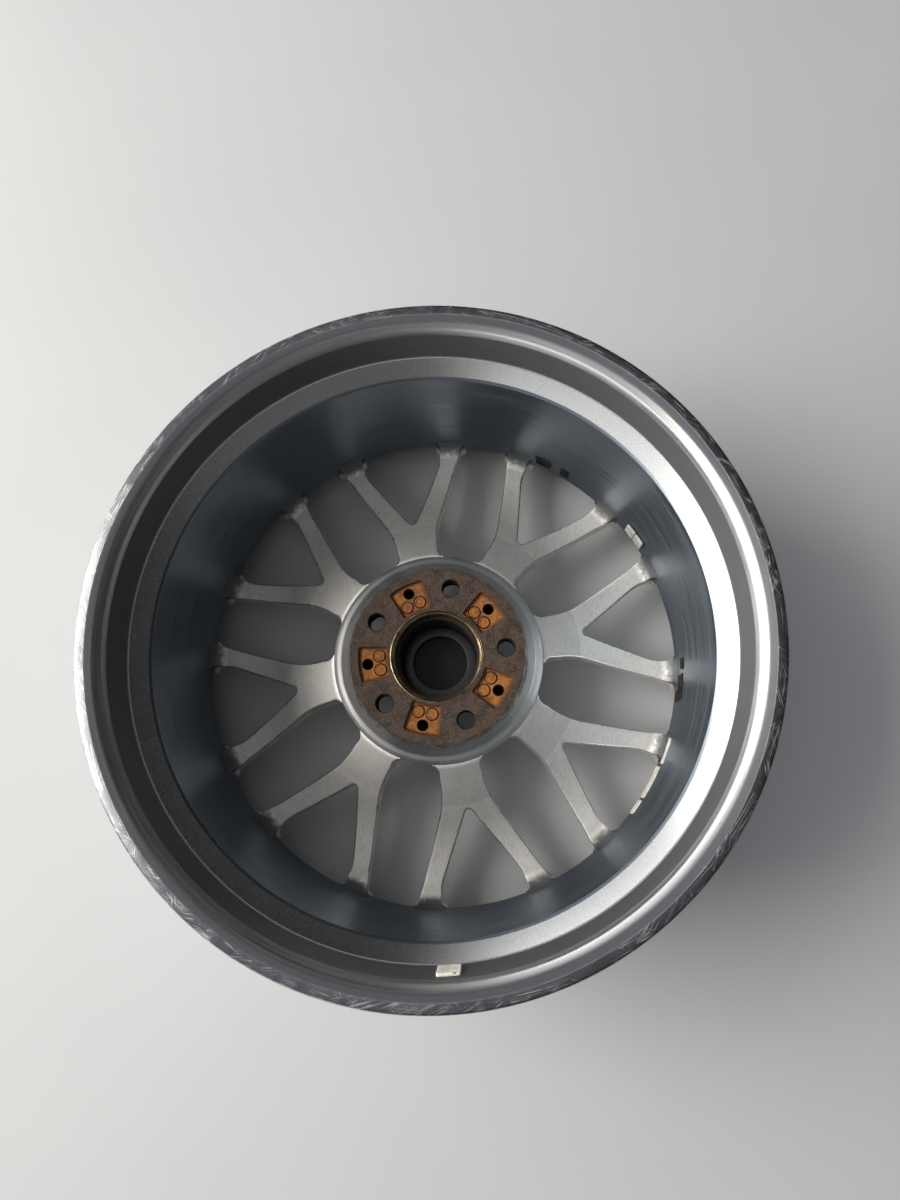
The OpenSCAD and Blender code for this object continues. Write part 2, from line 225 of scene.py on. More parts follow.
def slab(outline, top, bottom, edge_r, lattice, clearance, steps=4):
    """A plate with a given plan outline, top, bottom and edge radius as functions of the plan."""
    loop = np.array(outline)
    ahead = np.roll(loop, -1, 0) - loop
    ahead /= np.linalg.norm(ahead, axis=1)[:, None]
    normal = np.stack([-ahead[:, 1], ahead[:, 0]], axis=1)
    inward = normal + np.roll(normal, 1, 0)
    inward /= np.linalg.norm(inward, axis=1)[:, None]
    area = np.sum(loop[:, 0] * np.roll(loop[:, 1], -1) - np.roll(loop[:, 0], -1) * loop[:, 1])
    if area < 0:
        inward = -inward
    count = len(loop)
    radius = edge_r(loop)
    rows = []
    for k in range(steps + 1):
        a = math.pi / 2 * k / steps
        plan = loop + inward * (radius * (1 - math.cos(a)))[:, None]
        rows.append((plan, radius * (1 - math.sin(a))))
    upper = [np.column_stack([plan, top(plan) - drop]) for plan, drop in rows]
    lower = [np.column_stack([plan, bottom(plan) + drop]) for plan, drop in rows]
    bands = lower[::-1] + upper
    verts = list(bands)
    faces = quads(len(bands), count, False)
    plan = rows[-1][0]
    within, distance = inside(lattice, plan)
    inner = lattice[within & (distance > clearance)]
    coords = [Vector(p) for p in np.concatenate([plan, inner])]
    edges = [(j, (j + 1) % count) for j in range(count)]
    points, _, triangles, sources, _, _ = delaunay_2d_cdt(coords, edges, [], 1, 1e-7)
    points = np.array([tuple(p) for p in points])
    base = len(bands) * count
    for height, first_row in ((top, (len(bands) - 1) * count), (bottom, 0)):
        index = []
        extra = []
        for i, source in enumerate(sources):
            if source and source[0] < count:
                index.append(first_row + source[0])
            else:
                index.append(base + len(extra))
                extra.append(points[i])
        extra = np.array(extra)
        verts.append(np.column_stack([extra, height(extra)]))
        base += len(extra)
        faces += [tuple(index[i] for i in triangle) for triangle in triangles]
    return np.concatenate(verts), faces


def cut(obj, *cutters, sharp=28.0):
    """Subtracts closed meshes from an object and removes them."""
    for cutter in cutters:
        modifier = obj.modifiers.new("cut", "BOOLEAN")
        modifier.operation = "DIFFERENCE"
        modifier.solver = "EXACT"
        modifier.material_mode = "TRANSFER"
        modifier.object = cutter
    bpy.context.view_layer.update()
    depsgraph = bpy.context.evaluated_depsgraph_get()
    mesh = bpy.data.meshes.new_from_object(obj.evaluated_get(depsgraph), depsgraph=depsgraph)
    obj.modifiers.clear()
    obj.data = mesh
    for cutter in cutters:
        bpy.data.objects.remove(cutter)
    clean(obj, sharp, 2e-7)


def turn_about_z(obj, degrees):
    obj.data.transform(Matrix.Rotation(math.radians(degrees), 4, "Z"))


# ---- Material helpers ----

class Nodes:
    """Short names for the nodes of a material or of the world."""

    def __init__(self, owner):
        owner.use_nodes = True
        self.tree = owner.node_tree

    def add(self, kind, inputs=None, **settings):
        node = self.tree.nodes.new(kind)
        for key, value in settings.items():
            setattr(node, key, value)
        for socket, value in (inputs or {}).items():
            self.feed(node.inputs[socket], value)
        return node

    def feed(self, socket, value):
        if isinstance(value, bpy.types.NodeSocket):
            self.tree.links.new(value, socket)
        else:
            socket.default_value = value

    def math(self, operation, a, b=0.0):
        return self.add("ShaderNodeMath", {0: a, 1: b}, operation=operation).outputs[0]

    def plus(self, a, b):
        return self.math("ADD", a, b)

    def minus(self, a, b):
        return self.math("SUBTRACT", a, b)

    def times(self, a, b):
        return self.math("MULTIPLY", a, b)

    def larger(self, a, b):
        return self.math("MAXIMUM", a, b)

    def ramp_up(self, value, low, high):
        return self.add("ShaderNodeMapRange", {"Value": value, "From Min": low, "From Max": high},
                        interpolation_type="SMOOTHSTEP").outputs[0]

    def ramp_down(self, value, low, high):
        return self.minus(1.0, self.ramp_up(value, low, high))


class Shader(Nodes):
    """A Principled material and the patterns that drive it."""

    def __init__(self, name, **values):
        self.material = bpy.data.materials.new(name)
        super().__init__(self.material)
        self.surface = self.tree.nodes["Principled BSDF"]
        self.finish(**values)
        self.place = self.add("ShaderNodeTexCoord").outputs["Object"]
        self.x, self.y, self.z = self.add("ShaderNodeSeparateXYZ", {0: self.place}).outputs
        self.r = self.math("SQRT", self.plus(self.times(self.x, self.x), self.times(self.y, self.y)))

    def finish(self, **values):
        for key, value in values.items():
            self.feed(self.surface.inputs[key.replace("_", " ")], value)
        return self.material

    def vector(self, x, y, z):
        return self.add("ShaderNodeCombineXYZ", {0: x, 1: y, 2: z}).outputs[0]

    def stretched(self, x, y, z):
        """The object's own place, scaled along each axis."""
        return self.vector(self.times(self.x, x), self.times(self.y, y), self.times(self.z, z))

    def noise(self, scale, detail=3.0, rough=0.55, vector=None, distortion=0.0):
        return self.add("ShaderNodeTexNoise", {
            "Vector": vector or self.place, "Scale": scale, "Detail": detail, "Roughness": rough,
            "Distortion": distortion}).outputs[0]

    def cells(self, scale):
        """Distance to the nearest cell's middle, and that cell's random value."""
        node = self.add("ShaderNodeTexVoronoi", {"Vector": self.place, "Scale": scale})
        value = self.add("ShaderNodeSeparateXYZ", {0: node.outputs["Color"]}).outputs[0]
        return node.outputs["Distance"], value

    def turned(self, lines, around=2.0):
        """Fine lines that run round the axis: noise over r and z, and slow along the turn."""
        safe = self.larger(self.r, 1e-4)
        vector = self.vector(
            self.times(self.math("DIVIDE", self.x, safe), around),
            self.times(self.math("DIVIDE", self.y, safe), around),
            self.times(self.r, lines))
        return self.add("ShaderNodeTexNoise", {
            "Vector": vector, "W": self.times(self.z, lines), "Scale": 1.0,
            "Detail": 3.0, "Roughness": 0.65}, noise_dimensions="4D").outputs[0]

    def scratches(self, tilt, length, width, seed, share):
        """Thin hair lines at an angle to the turning direction, on part of the surface. 0 to 1."""
        u = self.times(self.math("ARCTAN2", self.y, self.x), SCUFF_R * MM)
        v = self.minus(self.r, self.z)
        c, s = math.cos(math.radians(tilt)), math.sin(math.radians(tilt))
        along = self.plus(self.times(u, c), self.times(v, s))
        across = self.minus(self.times(v, c), self.times(u, s))
        vector = self.vector(self.math("DIVIDE", along, length), self.math("DIVIDE", across, width), seed)
        lines = self.noise(1.0, 1.0, 0.5, vector)
        line = self.ramp_down(self.math("ABSOLUTE", self.minus(lines, 0.5)), 0.0, 0.03)
        where = self.noise(60.0, 2.0, 0.5, self.vector(self.x, self.y, self.plus(self.z, seed)))
        return self.times(line, self.ramp_up(where, 1.0 - share - 0.06, 1.0 - share + 0.06))

    def between(self, value, low, high, soft):
        return self.times(self.ramp_up(value, low - soft, low + soft),
                          self.ramp_down(value, high - soft, high + soft))

    def mix(self, share, a, b, most=None):
        """Colour from a to b by a share, which is scaled to reach only most."""
        share = share if most is None else self.times(share, most)
        colours = [c + (1.0,) if isinstance(c, tuple) else c for c in (a, b)]
        inputs = {0: share, 6: colours[0], 7: colours[1]}
        return self.add("ShaderNodeMix", inputs, data_type="RGBA").outputs[2]

    def blend(self, share, a, b):
        return self.add("ShaderNodeMix", {0: share, 2: a, 3: b}).outputs[0]

    def bump(self, height, distance, strength=1.0, before=None):
        inputs = {"Height": height, "Distance": distance, "Strength": strength}
        if before is not None:
            inputs["Normal"] = before
        return self.add("ShaderNodeBump", inputs).outputs[0]

    def brushed_tangent(self):
        return self.add("ShaderNodeTangent", direction_type="RADIAL", axis="Z").outputs[0]


# ---- Materials ----

def scaled(tint, factor):
    return tuple(min(1.0, c * factor) for c in tint)


def rim_metal(name, tint, rough, lines=1400.0, anisotropy=0.55):
    """Machined aluminium of the rim, with the zones of its profile told apart by height and radius. The
    inner wall, the dull band and the slope carry painted shade, painted reflection and a painted highlight
    in their colour.
    """
    s = Shader(name, Metallic=1.0, Anisotropic=anisotropy, Anisotropic_Rotation=0.25)
    fine = s.turned(lines, 1.0)
    broad = s.turned(240.0, 1.5)
    cloud = s.noise(22.0, 4.0)
    flange = s.times(s.ramp_up(s.z, (Z_IN - 0.9) * MM, (Z_IN - 0.3) * MM),
                     s.ramp_up(s.r, 239.8 * MM, 241.4 * MM))
    side = s.ramp_up(s.r, 244.5 * MM, 246.5 * MM)
    worn = s.larger(flange, s.times(side, 0.8))
    dull_band = s.between(s.z, (Z_IN - 38.2) * MM, (Z_IN - 9.5) * MM, 1.0 * MM)
    dull_band = s.times(dull_band, s.ramp_down(s.r, 228.9 * MM, 229.3 * MM))
    cone = s.between(s.z, (CONE_LOW[1] + 0.1) * MM, (CONE_HIGH[1] + 0.45) * MM, 0.4 * MM)
    cone_slope = (CONE_HIGH[0] - CONE_LOW[0]) / (CONE_HIGH[1] - CONE_LOW[1])
    cone_r = s.times(s.minus(s.z, CONE_LOW[1] * MM), cone_slope)
    depth = s.minus(s.minus(s.r, CONE_LOW[0] * MM), cone_r)
    cone = s.times(cone, s.ramp_down(depth, 2.0 * MM, 2.6 * MM))
    colour = s.mix(s.ramp_up(fine, 0.3, 0.7), scaled(tint, 0.86), scaled(tint, 1.1), 0.5)
    colour = s.mix(s.ramp_up(cloud, 0.4, 0.75), colour, scaled(tint, 0.72), 0.35)
    colour = s.mix(s.ramp_up(broad, 0.5, 0.72), colour, scaled(tint, 0.7), 0.3)
    # Painted shade and reflection: the inner wall gets a darker, bluish colour that stands in for the dark,
    # shaded ground it reflects.
    inner_wall = s.ramp_down(s.r, 215.2 * MM, 216.2 * MM)
    wall_painted_dark_share = s.times(inner_wall, s.blend(s.ramp_up(fine, 0.3, 0.7), 0.93, 0.99))
    colour = s.mix(wall_painted_dark_share, colour, (0.195, 0.225, 0.26))
    slope = s.between(s.r, 229.4 * MM, 240.4 * MM, 0.6 * MM)
    slope = s.times(slope, s.ramp_up(s.z, (Z_IN - 11.0) * MM, (Z_IN - 9.5) * MM))
    # Painted highlight: the inner part of the slope, inside R 233.5 to 236 mm, gets a bright colour for the
    # highlight along it, and the outer part a dark one.
    slope_highlight_colour = s.mix(s.ramp_up(s.r, 233.5 * MM, 236.0 * MM), (0.56, 0.55, 0.53), (0.145, 0.151, 0.16))
    colour = s.mix(slope, colour, slope_highlight_colour, 0.93)
    # The dull band is a rougher, darker finish, and its colour is darkened further as painted shade for the
    # dark ground it reflects.
    colour = s.mix(dull_band, colour, (0.105, 0.114, 0.123), 0.88)
    colour = s.mix(cone, colour, (0.58, 0.57, 0.55), 0.97)
    scuffs = s.scratches(3.0, 0.08, 0.0017, 3.1, 0.5)
    for tilt, length, seed, share in ((-24.0, 0.05, 7.7, 0.45), (38.0, 0.04, 12.3, 0.4),
                                      (-62.0, 0.04, 19.9, 0.35)):
        scuffs = s.larger(scuffs, s.scratches(tilt, length, 0.0016, seed, share))
    scuffs = s.times(scuffs, s.blend(worn, 0.05, 1.0))
    grime = s.times(s.ramp_up(s.noise(70.0, 5.0, 0.7), 0.48, 0.66), worn)
    colour = s.mix(worn, colour, (0.12, 0.124, 0.13), 0.9)
    colour = s.mix(grime, colour, (0.09, 0.095, 0.10), 0.5)
    colour = s.mix(scuffs, colour, (0.74, 0.74, 0.73), 0.62)
    spot_distance, spot_value = s.cells(330.0)
    spots = s.times(s.ramp_down(spot_distance, 0.05, 0.16), s.ramp_up(spot_value, 0.9, 0.93))
    colour = s.mix(spots, colour, (0.10, 0.10, 0.10), 0.6)
    roughness = s.plus(rough - 0.07, s.times(s.ramp_up(broad, 0.3, 0.7), 0.14))
    roughness = s.blend(dull_band, roughness, 0.56)
    roughness = s.blend(cone, roughness, 0.27)
    roughness = s.blend(worn, roughness, 0.27)
    roughness = s.blend(scuffs, roughness, 0.50)
    normal = s.bump(fine, 0.00003, 0.4)
    normal = s.bump(scuffs, -0.00002, 0.3, normal)
    return s.finish(Base_Color=colour, Roughness=roughness, Normal=normal, Tangent=s.brushed_tangent(),
                    # Painted reflection: the bluish specular tint on the inner wall stands in for the dark
                    # blue ground it reflects.
                    Specular_Tint=s.mix(inner_wall, (1.0, 1.0, 1.0), (0.66, 0.70, 0.75)))


def spoke_metal():
    """Hand-finished satin aluminium, with brake dust and pits where the arms run into the rim wall, and the
    rim wall's darker bluish colour, painted reflection and shade, where they climb it.
    """
    s = Shader("spoke_satin", Metallic=1.0)
    grain = s.noise(1.0, 4.0, 0.6, s.stretched(900.0, 190.0, 300.0))
    cross = s.noise(1.0, 3.0, 0.6, s.stretched(170.0, 1000.0, 300.0))
    cloud = s.noise(16.0, 5.0, 0.6)
    colour = s.mix(s.ramp_up(cloud, 0.3, 0.7), (0.90, 0.87, 0.81), (0.97, 0.94, 0.88))
    colour = s.mix(s.ramp_up(grain, 0.42, 0.72), colour, (0.55, 0.55, 0.54), 0.4)
    inner = s.ramp_down(s.r, 126.9 * MM, 127.3 * MM)
    colour = s.mix(inner, colour, (0.50, 0.50, 0.49), 0.28)
    circle = s.between(s.r, 126.9 * MM, 127.4 * MM, 0.2 * MM)
    colour = s.mix(circle, colour, (0.95, 0.94, 0.92), 0.4)
    root = s.between(s.z, -53.0 * MM, -46.5 * MM, 2.2 * MM)
    root = s.times(root, s.ramp_up(s.r, 196.0 * MM, 204.0 * MM))
    smudge = s.times(root, s.ramp_up(s.noise(95.0, 5.0, 0.7), 0.32, 0.55))
    colour = s.mix(smudge, colour, (0.10, 0.10, 0.10), 0.88)
    pit_distance, pit_value = s.cells(620.0)
    near_rim = s.times(s.ramp_up(s.r, 198.0 * MM, 206.0 * MM), s.ramp_up(s.z, -54.5 * MM, -52.0 * MM))
    pits = s.times(s.ramp_down(pit_distance, 0.16, 0.3), s.ramp_up(pit_value, 0.66, 0.7))
    pits = s.times(pits, near_rim)
    colour = s.mix(pits, colour, (0.05, 0.05, 0.05), 0.85)
    # Painted reflection and shade: where the arms run into the rim wall they take the wall's darker, bluish
    # colour.
    wall = s.times(s.ramp_up(s.r, 203.5 * MM, 210.5 * MM), s.ramp_up(s.z, -64.0 * MM, -56.0 * MM))
    colour = s.mix(wall, colour, (0.17, 0.18, 0.195))
    roughness = s.blend(s.ramp_up(cross, 0.35, 0.7), 0.53, 0.62)
    roughness = s.blend(smudge, roughness, 0.6)
    normal = s.bump(s.plus(grain, cross), 0.00005, 0.45)
    normal = s.bump(pits, -0.0003, 0.8, normal)
    return s.finish(Base_Color=colour, Roughness=roughness, Normal=normal)


def hub_metal():
    """Turned aluminium of the hub's dished ring and its outboard face."""
    s = Shader("hub_turned", Metallic=1.0, Anisotropic=0.4, Anisotropic_Rotation=0.25)
    fine = s.turned(1500.0)
    cloud = s.noise(30.0, 4.0)
    colour = s.mix(s.ramp_up(fine, 0.3, 0.7), (0.55, 0.55, 0.54), (0.72, 0.715, 0.70))
    colour = s.mix(s.ramp_up(cloud, 0.42, 0.7), colour, (0.42, 0.41, 0.40), 0.4)
    dust = s.times(s.ramp_down(s.r, 76.0 * MM, 80.0 * MM), s.ramp_up(s.noise(140.0, 4.0), 0.42, 0.6))
    dust = s.times(dust, s.ramp_up(s.z, -14.0 * MM, -9.0 * MM))
    colour = s.mix(dust, colour, (0.20, 0.15, 0.12), 0.7)
    return s.finish(Base_Color=colour, Roughness=s.blend(s.ramp_up(cloud, 0.3, 0.7), 0.36, 0.48),
                    Normal=s.bump(fine, 0.00005, 0.5), Tangent=s.brushed_tangent())


def pocket_edge(s):
    """How close a point of a relief pocket is to the pocket's edge, 1 at the edge."""
    sector = math.radians(BOLT_STEP)
    turn = s.plus(s.math("DIVIDE", s.math("ARCTAN2", s.y, s.x), sector), 10.5 - POCKET_ANGLE / BOLT_STEP)
    local = s.times(s.minus(s.math("FRACT", turn), 0.5), sector)
    across = s.math("ABSOLUTE", s.times(s.r, s.math("SINE", local)))
    half = s.plus(0.0121, s.times(s.minus(s.r, POCKET_IN * MM), 0.139))
    margin = s.math("MINIMUM", s.minus(half, across),
                    s.math("MINIMUM", s.minus(s.r, POCKET_IN * MM), s.minus(POCKET_OUT * MM, s.r)))
    wobble = s.times(s.minus(s.noise(260.0, 3.0), 0.5), 0.004)
    return s.ramp_down(s.plus(margin, wobble), 0.0002, 0.0036)


def rust(name, dark, middle, light, grain=1.0, light_share=0.55, edge_grime_and_shade=False):
    """Mottled rust stain with fine speckle and a rough surface."""
    s = Shader(name, Metallic=0.0)
    big = s.noise(75.0 * grain, 5.0, 0.7, distortion=0.4)
    small = s.noise(420.0 * grain, 4.0, 0.7)
    distance, value = s.cells(900.0 * grain)
    speck = s.times(s.ramp_down(distance, 0.2, 0.42), s.ramp_up(value, 0.72, 0.76))
    chip = s.times(s.ramp_down(distance, 0.15, 0.4), s.ramp_down(value, 0.14, 0.18))
    colour = s.mix(s.ramp_up(big, 0.34, 0.62), dark, middle)
    colour = s.mix(s.ramp_up(small, 0.46, 0.7), colour, light, light_share)
    colour = s.mix(speck, colour, scaled(dark, 0.25), 0.75)
    colour = s.mix(chip, colour, scaled(light, 1.7), 0.5)
    # Darker towards the pocket's edges: partly grime, partly painted shade where the pocket walls cut off
    # the light.
    if edge_grime_and_shade:
        colour = s.mix(pocket_edge(s), colour, (0.075, 0.032, 0.014), 0.8)
    height = s.plus(s.times(big, 0.7), s.times(small, 0.5))
    return s.finish(Base_Color=colour, Roughness=s.blend(s.ramp_up(small, 0.35, 0.65), 0.55, 0.85),
                    Normal=s.bump(height, 0.0006 / grain, 0.7), Specular_IOR_Level=0.35)


def turned_metal(name, dark, light, rough, lines=1800.0, stain=None):
    """Small turned parts: fine lines round the axis and a cloudy tarnish."""
    s = Shader(name, Metallic=1.0, Anisotropic=0.35, Anisotropic_Rotation=0.25)
    fine = s.turned(lines, 3.0)
    cloud = s.noise(130.0, 4.0, 0.6)
    colour = s.mix(s.ramp_up(fine, 0.32, 0.68), dark, light)
    if stain is not None:
        colour = s.mix(s.ramp_up(cloud, 0.42, 0.66), colour, stain, 0.75)
    roughness = s.blend(s.ramp_up(cloud, 0.3, 0.7), rough - 0.05, rough + 0.12)
    return s.finish(Base_Color=colour, Roughness=roughness, Normal=s.bump(fine, 0.00005, 0.6),
                    Tangent=s.brushed_tangent())


def moulded(name, dark, light, rough, grain=2500.0, depth=0.00005, specular=0.5):
    """Plastic, rubber and foam: a fine grain over a faint cloudy tone."""
    s = Shader(name, Metallic=0.0)
    fine = s.noise(grain, 3.0, 0.6)
    cloud = s.noise(90.0, 4.0, 0.6)
    colour = s.mix(s.ramp_up(cloud, 0.3, 0.7), dark, light)
    roughness = s.blend(s.ramp_up(fine, 0.3, 0.7), rough - 0.04, rough + 0.1)
    return s.finish(Base_Color=colour, Roughness=roughness, Normal=s.bump(fine, depth, 0.7),
                    Specular_IOR_Level=specular)


def sticky_tape(name, dark, light, dirt):
    """Old adhesive tape: paper fibre, stains and dark nicks."""
    s = Shader(name, Metallic=0.0)
    fibre = s.noise(1800.0, 3.0, 0.7)
    stain = s.noise(110.0, 5.0, 0.7)
    nick = s.noise(260.0, 3.0, 0.6, distortion=0.8)
    colour = s.mix(s.ramp_up(stain, 0.35, 0.65), dark, light)
    colour = s.mix(s.ramp_up(nick, 0.62, 0.68), colour, dirt, 0.9)
    return s.finish(Base_Color=colour, Roughness=s.blend(fibre, 0.55, 0.85),
                    Normal=s.bump(fibre, 0.0002, 0.6))


def floor_material():
    s = Shader("pale_floor", Metallic=0.0, Roughness=0.75)
    soft = s.noise(3.0, 3.0)
    fine = s.noise(600.0, 2.0)
    return s.finish(Base_Color=s.mix(soft, (0.50, 0.505, 0.515), (0.555, 0.56, 0.565)),
                    Normal=s.bump(fine, 0.0001, 0.2))


MATERIALS = {
    "lip": rim_metal("rim_lip_metal", (0.47, 0.475, 0.485), 0.33),
    "barrel": rim_metal("rim_barrel_metal", (0.45, 0.455, 0.465), 0.34, 1100.0, 0.75),
    "spoke": spoke_metal(),
    "deburred": turned_metal("deburred_edge", (0.80, 0.80, 0.79), (0.93, 0.92, 0.90), 0.30, 900.0),
    "hub": hub_metal(),
    "pad": rust("pad_rust", (0.030, 0.019, 0.014), (0.080, 0.052, 0.037), (0.20, 0.14, 0.10), 1.3, 0.7),
    "pocket": rust("pocket_rust", (0.20, 0.062, 0.012), (0.40, 0.145, 0.028), (0.60, 0.28, 0.08), 1.2, 0.5,
                   edge_grime_and_shade=True),
    # Painted shade: the near-black mottled colour on the walls of the bore and of the bolt, blind and
    # groove holes stands in for the shade inside them.
    "hole": rust("hole_painted_shade", (0.012, 0.009, 0.008), (0.03, 0.022, 0.017), (0.07, 0.05, 0.035), 1.2, 0.4),
    "ring": turned_metal("ring_tarnish", (0.15, 0.105, 0.065), (0.42, 0.33, 0.22), 0.36,
                         stain=(0.08, 0.05, 0.035)),
    "steel": turned_metal("spring_wire", (0.40, 0.40, 0.41), (0.60, 0.60, 0.61), 0.32),
    "nickel": turned_metal("nickel_turned", (0.58, 0.57, 0.54), (0.80, 0.79, 0.76), 0.22),
    "brass": turned_metal("brass_turned", (0.60, 0.42, 0.17), (0.80, 0.60, 0.28), 0.28),
    "plastic": moulded("cap_plastic", (0.006, 0.006, 0.007), (0.014, 0.014, 0.016), 0.34, 1600.0),
    "gloss": moulded("disc_gloss", (0.003, 0.003, 0.004), (0.007, 0.007, 0.008), 0.42, 700.0, 1e-5, 0.25),
    "rubber": moulded("black_rubber", (0.010, 0.010, 0.010), (0.028, 0.028, 0.027), 0.62),
    "seal": moulded("red_rubber", (0.28, 0.02, 0.015), (0.40, 0.04, 0.03), 0.55),
    "weight": moulded("weight_coat", (0.42, 0.42, 0.41), (0.62, 0.62, 0.60), 0.42, 900.0, 0.0001),
    "foam": moulded("dark_foam", (0.008, 0.008, 0.008), (0.035, 0.034, 0.032), 0.86, 1300.0, 0.0005, 0.2),
    "cream": sticky_tape("cream_tape", (0.70, 0.67, 0.57), (0.90, 0.88, 0.79), (0.05, 0.045, 0.04)),
}


def piece(obj, node, material=None, body="wheel"):
    """Registers one finished piece: what it replaces, its finish and what it moves with."""
    if material is not None:
        obj.data.materials.clear()
        obj.data.materials.append(MATERIALS[material])
    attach(obj, body)
    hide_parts(node)


# ---- Valve place: its own axis runs from the seat inside the tyre to the outboard side ----

AT_VALVE = (Matrix.Rotation(math.radians(VALVE_AZIMUTH), 4, "Z")
            @ Matrix.Translation((VALVE_SEAT[0] * MM, 0, VALVE_SEAT[1] * MM))
            @ Matrix.Rotation(math.radians(180 + VALVE_TILT), 4, "Y"))


def valve_cutter():
    profile = [(0, -15), (6.7, -15), (6.7, -0.4), (6.3, 0), (4.5, 0), (4.15, 0.35), (4.15, 10.15),
               (4.5, 10.5), (7.0, 10.5), (7.0, 30.5), (0, 30.5)]
    return lathe("valve_cutter", profile, 64, matrix=AT_VALVE)


# ---- Rim ----

def flange_side(z_face, s):
    """Tyre side of a flange, its bead seat and its hump; s is +1 inboard and -1 outboard."""
    return [
        (FLANGE_R, z_face, 2.0), (FLANGE_R, z_face - s * FLANGE_T, 5.5),
        (BEAD_R + 0.6, z_face - s * FLANGE_T, 6.0), (BEAD_R - 1.15, z_face - s * 32.4, 6.0),
        (BEAD_R - 0.05, z_face - s * 36.4, 3.0), (BEAD_R - 1.8, z_face - s * 39.7, 3.0)]


def build_rim():
    inner = flange_side(Z_IN, 1) + [
        (229.2, Z_IN - 43, 5.0), (219.2, Z_IN - 54, 7.0), (SHELL_R[0], SPLIT_IN), (BARREL_R, SPLIT_IN),
        (BARREL_R, Z_IN - 52.6, 1.2), (*CONE_LOW, 1.4), (*CONE_HIGH, 0.25),
        (BAND_R, Z_IN - 39.35, 0.25), (228.7, Z_IN - 10.2, 2.0), (230.9, Z_IN - 5.6, 7.0),
        (234.9, Z_IN - 1.9, 9.0), (239.9, Z_IN - 0.35, 3.0), (240.9, Z_IN, 0.4)]
    piece(lathe("rim_inner_lip", rounded(inner)), "inner_lip", "lip")
    barrel = [(BARREL_R, SPLIT_IN), (SHELL_R[0], SPLIT_IN), (SHELL_R[0], 2, 8.0), (SHELL_R[1], -14, 8.0),
              (SHELL_R[1], SPLIT_OUT), (WALL_R, SPLIT_OUT), (WALL_R, -38, 20.0)]
    piece(lathe("rim_barrel", rounded(barrel)), "barrel", "barrel")
    outer = flange_side(Z_OUT, -1) + [
        (217.9, -52.6, 3.0), (SHELL_R[1], SPLIT_OUT), (WALL_R, SPLIT_OUT), (WALL_R, -55, 3.0),
        (FRONT_R, FRONT_Z, 0.8), (226.9, -77.0, 1.5), (227.2, Z_OUT + 11.5, 3.0),
        (231.6, Z_OUT + 5.6, 3.0), (239.1, Z_OUT, 3.5)]
    lip = lathe("rim_outer_lip", rounded(outer))
    cut(lip, valve_cutter())
    piece(lip, "outer_lip", "lip")


# ---- Spokes ----

FORK_ANGLE, FORK_X, NOSE_R = 29.3, 128.1, 3.3
BACK_SLOPE, BACK_END, BEND_X, BEND_R, FILLET_R = 26.0, 2.5, 138.0, 132.0, 14.0
HUB_EDGE_Z, ROOT_Z = -17.4, -48.0
BEND_Z = HUB_EDGE_Z - (BEND_X - HUB_R) * math.tan(math.radians(BACK_SLOPE))
BEND_C = (BEND_X + BEND_R * math.sin(math.radians(BACK_SLOPE)),
          BEND_Z + BEND_R * math.cos(math.radians(BACK_SLOPE)))
FLAT_START = BEND_C[0] - BEND_R * math.sin(math.radians(BACK_END))
FLAT_Z = BEND_C[1] - BEND_R * math.cos(math.radians(BACK_END))
BURIED_R = 215.5
LATTICE = 2.6
VALVE_SPOKE = int(VALVE_AZIMUTH // SPOKE_STEP)


def spoke_back(plan):
    """Height of a spoke's back: slope from the hub, long bend, flat, then the fillet up the rim wall."""
    r = np.hypot(plan[:, 0], plan[:, 1])
    slope_z = HUB_EDGE_Z - (r - HUB_R) * math.tan(math.radians(BACK_SLOPE))
    bend_z = BEND_C[1] - np.sqrt(np.maximum(BEND_R ** 2 - (r - BEND_C[0]) ** 2, 0))
    fillet_x = WALL_R - FILLET_R
    flat_z = FLAT_Z - (r - FLAT_START) / (fillet_x - FLAT_START) * 0.4
    across = np.clip((r - fillet_x) / FILLET_R, 0, 1)
    fillet_z = FLAT_Z - 0.4 + FILLET_R * (1 - np.sqrt(1 - across ** 2))
    cone_z = -55.6 - (r - WALL_R) * (-FRONT_Z - 55) / 9.2
    hub_z = np.full(len(r), HUB_EDGE_Z - 0.4)
    return np.select([r < HUB_R, r < BEND_X, r < FLAT_START, r < fillet_x, r <= BURIED_R + 0.05],
                     [hub_z, slope_z, bend_z, flat_z, fillet_z], cone_z + 3.0)


def spoke_front(plan):
    r = np.hypot(plan[:, 0], plan[:, 1])
    z = ROOT_Z + (r - HUB_R) / (FRONT_R - HUB_R) * (FRONT_Z - ROOT_Z)
    return np.clip(z, FRONT_Z + 0.1, ROOT_Z + 0.1)


def spoke_edge(plan):
    """Edge radius of a spoke: soft on the arms, nearly sharp where they climb the rim wall."""
    r = np.hypot(plan[:, 0], plan[:, 1])
    return 1.1 - 1.0 * np.clip((r - 193.0) / 10.0, 0, 1)


def rim_corner(side_angle, corner_r):
    """Half of a window's rim end, from its side to the wall and out to the lip."""
    lean = math.degrees(math.asin(corner_r / (WALL_R - corner_r)))
    middle = polar(WALL_R - corner_r, side_angle - lean)
    return arc(middle, corner_r, 90 + side_angle, side_angle - lean + 4, 16) + [
        polar(WALL_R, side_angle - lean - 0.1), polar(BURIED_R, side_angle - lean - 0.1),
        polar(BURIED_R, side_angle), polar(224.3, side_angle)]


def fork_half():
    knee_y = (190 - FORK_X) * math.tan(math.radians(FORK_ANGLE))
    start = (FORK_X + NOSE_R / math.sin(math.radians(FORK_ANGLE)), 0)
    corner = rim_corner(10.8, 4.5)
    straight = arc(start, NOSE_R, 180, 90 + FORK_ANGLE, 14)
    bend = rounded([straight[-1], (191.5, knee_y + 0.9, 60.0), corner[0]], 8, False)
    return straight + bend[1:-1] + corner


